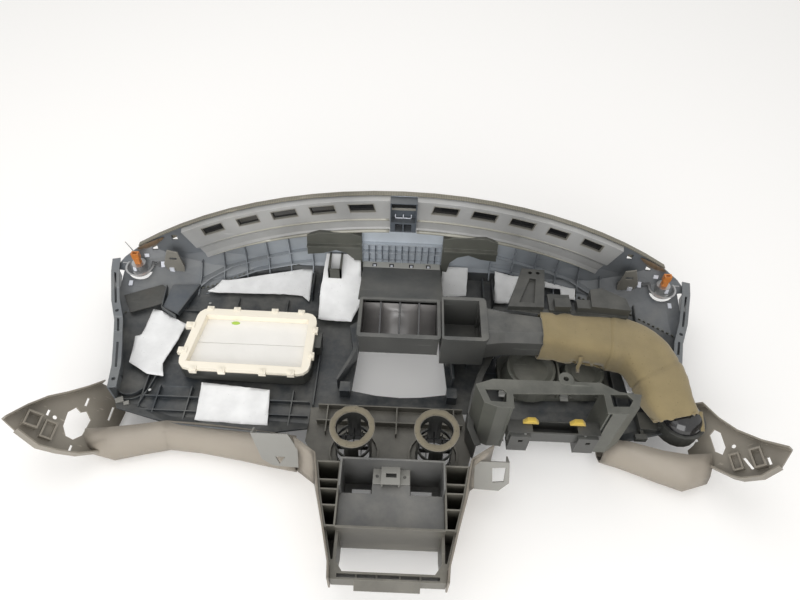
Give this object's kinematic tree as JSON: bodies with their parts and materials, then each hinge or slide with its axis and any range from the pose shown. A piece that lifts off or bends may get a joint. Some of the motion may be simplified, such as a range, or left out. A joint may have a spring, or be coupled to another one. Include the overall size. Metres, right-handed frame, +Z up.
{
  "type": "car dashboard assembly",
  "caption": "Stripped car dashboard lying on its cabin side, with pad, air ducts, airbag frame, vents, centre stack, column support, lower trims and end wings.",
  "frame": {"origin": "middle of the footprint, on the floor that the dashboard lies on", "axes": "+X across the car from the airbag's end to the steering column's end, +Y towards the windshield edge, +Z up, away from the cabin side"},
  "size_m": [1.376, 0.697, 0.3103],
  "materials": {
    "pad_plastic": "satin",
    "face_plastic": "satin",
    "dark_plastic": "satin",
    "olive_plastic": "satin",
    "beige_plastic": "matte",
    "grey_plastic": "matte",
    "light_grey_plastic": "matte",
    "cream_plastic": "matte",
    "white_plastic": "matte",
    "edge_skin": "grained",
    "white_felt": "felt",
    "tan_foam": "foam",
    "brown_foam": "foam",
    "yellow_felt": "felt",
    "orange_plastic": "gloss",
    "speaker_metal": "satin",
    "spring_steel": "bright",
    "gloss_black": "gloss"
  },
  "bodies": {
    "root": {"airbag_cover": "olive_plastic", "airbag_door_plate": "white_plastic", "airbag_frame": "cream_plastic", "airbag_surround": "dark_plastic", "arch_bracket_left": "olive_plastic", "arch_bracket_right": "olive_plastic", "center_duct": "dark_plastic", "cluster_housing": "olive_plastic", "column_crossbar": "dark_plastic", "column_shroud": "dark_plastic", "column_support": "olive_plastic", "corner_bracket_left": "olive_plastic", "corner_bracket_right": "olive_plastic", "defroster_channel": "pad_plastic", "driver_duct": "dark_plastic", "duct_bracket": "dark_plastic", "duct_outlet_boot": "dark_plastic", "duct_sleeve": "tan_foam", "end_flange_left": "olive_plastic", "end_flange_right": "olive_plastic", "end_wing_left": "olive_plastic", "end_wing_right": "olive_plastic", "face_carrier": "face_plastic", "felt_center_left": "white_felt", "felt_center_right": "white_felt", "felt_end_left": "white_felt", "felt_end_right": "white_felt", "felt_lower_left": "white_felt", "felt_middle_right": "white_felt", "felt_small_right": "white_felt", "felt_torn_right": "white_felt", "felt_upper_left": "white_felt", "felt_upper_right": "white_felt", "gauge_hood": "dark_plastic", "knee_flap_left": "light_grey_plastic", "knee_flap_right": "light_grey_plastic", "lower_trim_left": "beige_plastic", "lower_trim_right": "beige_plastic", "metal_clips": "spring_steel", "sensor_bracket": "dark_plastic", "stack_frame": "face_plastic", "stack_side_left": "beige_plastic", "stack_side_right": "beige_plastic", "stack_tray": "grey_plastic", "top_pad_carrier": "pad_plastic", "tray_bracket": "light_grey_plastic", "tweeter_left": "speaker_metal", "tweeter_plug_left": "orange_plastic", "tweeter_plug_right": "orange_plastic", "tweeter_right": "speaker_metal", "vent_barrel_left": "dark_plastic", "vent_barrel_right": "dark_plastic", "vent_gasket_left": "brown_foam", "vent_gasket_right": "brown_foam", "vent_panel": "face_plastic", "vent_vanes_left": "gloss_black", "vent_vanes_right": "gloss_black", "windshield_edge_trim": "edge_skin", "yellow_pad_left": "yellow_felt", "yellow_pad_right": "yellow_felt"}
  },
  "joints": []
}
